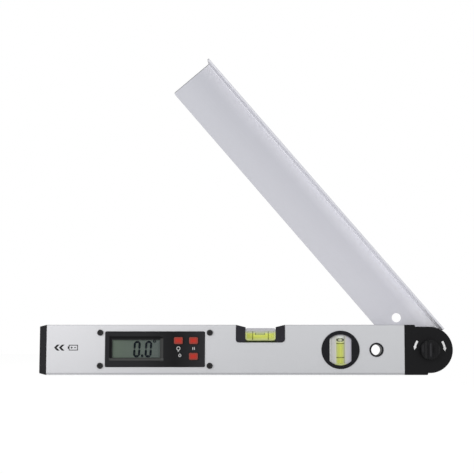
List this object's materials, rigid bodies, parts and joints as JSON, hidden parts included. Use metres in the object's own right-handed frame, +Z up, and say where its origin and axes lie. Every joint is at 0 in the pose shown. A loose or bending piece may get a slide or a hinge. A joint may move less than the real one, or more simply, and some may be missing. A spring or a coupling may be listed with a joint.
{
  "type": "digital angle finder",
  "caption": "Aluminium box-section angle finder with a display, red keys and spirit vials, hinged to an L-section arm that opens from closed to 225 degrees and locks with a knob.",
  "frame": {"origin": "centre of the body extrusion's bottom face", "axes": "+X along the body towards the hinge, -Y out of the display's face, +Z up towards the top vial"},
  "size_m": [0.4143, 0.0393, 0.3228],
  "materials": {
    "body_aluminium": "satin anodised",
    "arm_aluminium": "satin anodised",
    "hub_aluminium": "turned",
    "bezel_black": "fine satin moulding",
    "vial_black": "satin moulding",
    "hinge_black": "satin moulding",
    "knob_black": "satin moulding",
    "cap_black": "satin moulding",
    "clear_window": "clear polished",
    "display_panel": "polarised display cell",
    "light_guide": "white diffuser",
    "circuit_board": "green solder mask",
    "switch_body": "moulded",
    "steel_screw": "zinc plated",
    "black_screw": "black oxide",
    "bolt_steel": "zinc plated",
    "spring_steel": "nickel plated",
    "bush_bronze": "sintered bronze",
    "insert_brass": "turned",
    "washer_fibre": "pressed fibre",
    "lead_jacket": "insulated wire",
    "flat_cable": "polyimide film",
    "vial_acrylic": "clear acrylic",
    "vial_liquid": "tinted spirit",
    "cell_jacket": "printed jacket, plain",
    "key_red": "semi-gloss"
  },
  "bodies": {
    "body": {"body_extrusion": "body_aluminium", "display_bezel": "bezel_black", "display_window": "clear_window", "lcd_panel": "display_panel", "lcd_backlight": "light_guide", "main_board": "circuit_board", "board_screws": "steel_screw", "display_screws": "black_screw", "tact_switches": "switch_body", "top_vial_holder": "vial_black", "top_vial_block": "vial_acrylic", "top_vial_liquid": "vial_liquid", "round_vial_holder": "vial_black", "round_vial_rear_ring": "vial_black", "round_vial_block": "vial_acrylic", "round_vial_liquid": "vial_liquid", "hang_grommet": "vial_black", "battery_contact_block": "switch_body", "battery_springs": "spring_steel", "battery_leads": "lead_jacket", "sensor_ribbon": "flat_cable", "hinge_housing": "hinge_black", "hinge_cover": "hinge_black", "cover_screws": "steel_screw", "housing_screws": "steel_screw", "hub_bush": "bush_bronze", "encoder_stator": "circuit_board", "friction_washer": "washer_fibre", "clamp_bolt": "bolt_steel", "pressure_washer": "bolt_steel", "knob_washer": "washer_fibre"},
    "arm": {"arm_blade": "arm_aluminium", "arm_hub": "hub_aluminium", "hub_screws": "steel_screw", "encoder_rotor": "circuit_board", "arm_rear_cap": "hinge_black"},
    "lock": {"lock_knob": "knob_black", "knob_insert": "insert_brass"},
    "battery_drawer": {"battery_end_cap": "cap_black", "battery_tray": "cap_black", "battery_cells": "cell_jacket", "battery_bridge": "spring_steel"},
    "backlight_key": {"backlight_button": "key_red"},
    "hold_key": {"hold_button": "key_red"},
    "power_key": {"power_button": "key_red"}
  },
  "joints": [
    {"name": "arm_hinge", "type": "hinge", "parent": "body", "child": "arm", "pos_m": [0.2042, 0.01225, 0.025], "axis": [0, 1, 0], "range_deg": [-49.3, 175.7]},
    {"name": "lock_turn", "type": "hinge", "parent": "body", "child": "lock", "pos_m": [0.2042, -0.015, 0.025], "axis": [0, 1, 0], "range_deg": [-180, 0]},
    {"name": "battery_slide", "type": "slide", "parent": "body", "child": "battery_drawer", "axis": [-1, 0, 0], "range_m": [0, 0.055]},
    {"name": "backlight_press", "type": "slide", "parent": "body", "child": "backlight_key", "axis": [0, 1, 0], "range_m": [0, 0.0007], "stiffness_N_per_m": 400, "springref_m": -0.0005},
    {"name": "hold_press", "type": "slide", "parent": "body", "child": "hold_key", "axis": [0, 1, 0], "range_m": [0, 0.0007], "stiffness_N_per_m": 400, "springref_m": -0.0005},
    {"name": "power_press", "type": "slide", "parent": "body", "child": "power_key", "axis": [0, 1, 0], "range_m": [0, 0.0007], "stiffness_N_per_m": 400, "springref_m": -0.0005}
  ]
}
